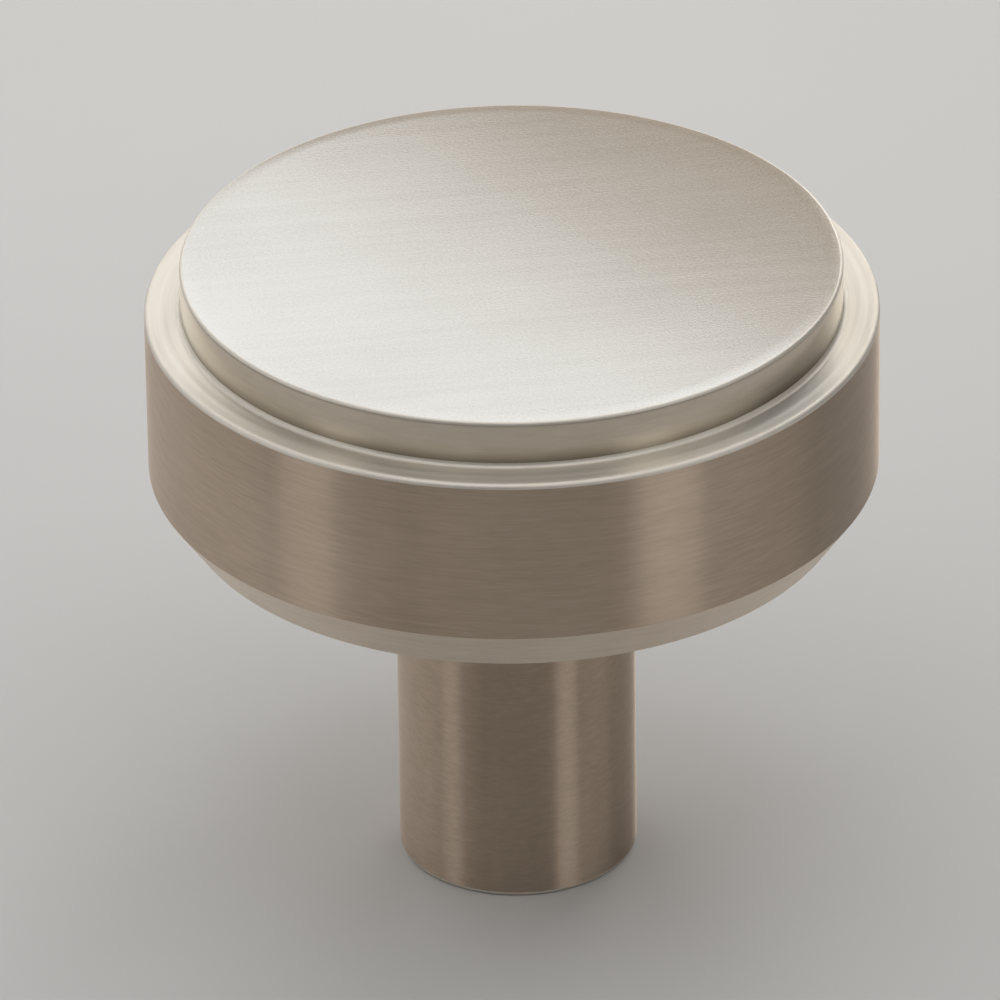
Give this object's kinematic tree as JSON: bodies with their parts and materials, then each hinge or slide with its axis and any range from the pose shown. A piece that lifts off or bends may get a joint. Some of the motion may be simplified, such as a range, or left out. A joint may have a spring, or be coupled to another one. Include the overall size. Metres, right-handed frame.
{
  "type": "cabinet knob",
  "caption": "Round satin nickel cabinet knob with a raised flat crown on a stepped, chamfered head and a plain cylindrical post, tapped from below for a machine screw.",
  "frame": {"origin": "centre of the post's base, where it meets the door or drawer front", "axes": "+Z along the turning axis from the post's base towards the crown; X and Y are free"},
  "size_m": [0.0318, 0.0318, 0.029],
  "materials": {
    "satin_nickel": "brushed satin nickel plating on solid brass"
  },
  "bodies": {
    "root": {"knob": "satin_nickel"}
  },
  "joints": []
}
